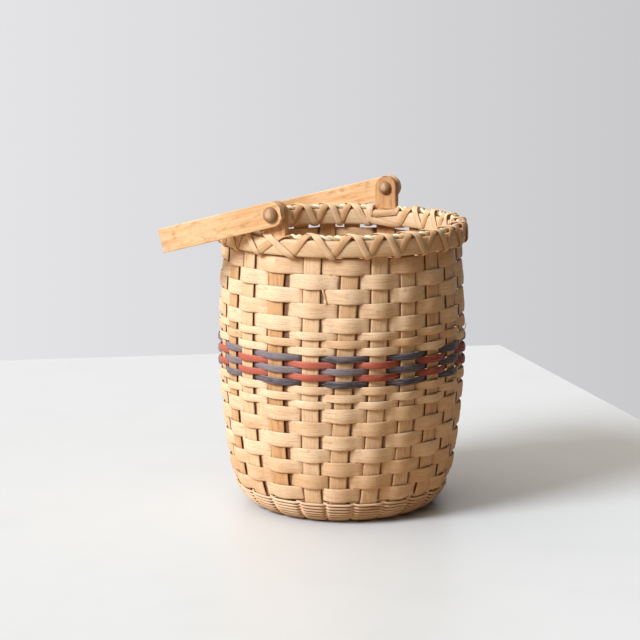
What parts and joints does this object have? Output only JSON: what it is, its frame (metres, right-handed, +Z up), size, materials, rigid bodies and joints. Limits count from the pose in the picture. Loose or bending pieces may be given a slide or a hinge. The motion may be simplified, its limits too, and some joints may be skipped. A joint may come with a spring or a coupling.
{
  "type": "swing handle basket",
  "caption": "Round woven reed basket with a coloured band, a lashed rim and a bent wood handle that swings on pegs through its ears.",
  "frame": {"origin": "middle of the underside, on the lowest crossing splint", "axes": "+Z up out of the mouth; the pegs lie along Y with the front ear towards -Y; at rest the handle lies fallen towards -X"},
  "size_m": [0.2893, 0.2562, 0.3037],
  "materials": {
    "stake_reed": "bare flat reed with an upright grain",
    "weaver_reed": "bare flat reed, pale straw, grain along the strip",
    "blue_reed": "reed dyed slate blue, matt",
    "red_reed": "reed dyed brick red, matt",
    "round_reed": "bare fine round reed, twined",
    "hoop_reed": "half-round reed, smooth",
    "lashing_reed": "thin flat reed, folded over the rim",
    "seagrass": "twisted seagrass rope, dry",
    "handle_wood": "honey hardwood with flecks, lightly polished",
    "peg_wood": "turned brown wood, waxed"
  },
  "bodies": {
    "basket": {"long_splint_1": "stake_reed", "long_splint_2": "stake_reed", "long_splint_3": "stake_reed", "long_splint_4": "stake_reed", "long_splint_5": "stake_reed", "long_splint_6": "stake_reed", "short_stake_01": "stake_reed", "short_stake_02": "stake_reed", "short_stake_03": "stake_reed", "short_stake_04": "stake_reed", "short_stake_05": "stake_reed", "short_stake_06": "stake_reed", "short_stake_07": "stake_reed", "short_stake_08": "stake_reed", "short_stake_09": "stake_reed", "short_stake_10": "stake_reed", "short_stake_11": "stake_reed", "short_stake_12": "stake_reed", "rim_weaver": "weaver_reed", "upper_weaver_1": "weaver_reed", "upper_weaver_2": "weaver_reed", "upper_weaver_3": "weaver_reed", "upper_weaver_4": "weaver_reed", "upper_weaver_5": "weaver_reed", "fine_weaver_1": "weaver_reed", "fine_weaver_2": "weaver_reed", "fine_weaver_3": "weaver_reed", "blue_weaver_1": "blue_reed", "red_weaver_1": "red_reed", "blue_weaver_2": "blue_reed", "red_weaver_2": "red_reed", "blue_weaver_3": "blue_reed", "fine_weaver_4": "weaver_reed", "fine_weaver_5": "weaver_reed", "fine_weaver_6": "weaver_reed", "lower_weaver_1": "weaver_reed", "lower_weaver_2": "weaver_reed", "lower_weaver_3": "weaver_reed", "lower_weaver_4": "weaver_reed", "lower_weaver_5": "weaver_reed", "lower_weaver_6": "weaver_reed", "lower_weaver_7": "weaver_reed", "twining_outer": "round_reed", "twining_inner": "round_reed", "hoop_outer": "hoop_reed", "hoop_inner": "hoop_reed", "rim_filler_right": "seagrass", "rim_filler_left": "seagrass", "lashing_first": "lashing_reed", "lashing_second": "lashing_reed", "ear_front": "handle_wood", "ear_back": "handle_wood", "peg_front": "peg_wood", "peg_back": "peg_wood", "peg_cap_front": "peg_wood", "peg_cap_back": "peg_wood"},
    "handle": {"handle": "handle_wood"}
  },
  "joints": [
    {"name": "handle_swing", "type": "hinge", "parent": "basket", "child": "handle", "pos_m": [-0.0087, 0, 0.2925], "axis": [0, 1, 0], "range_deg": [0, 203]}
  ]
}
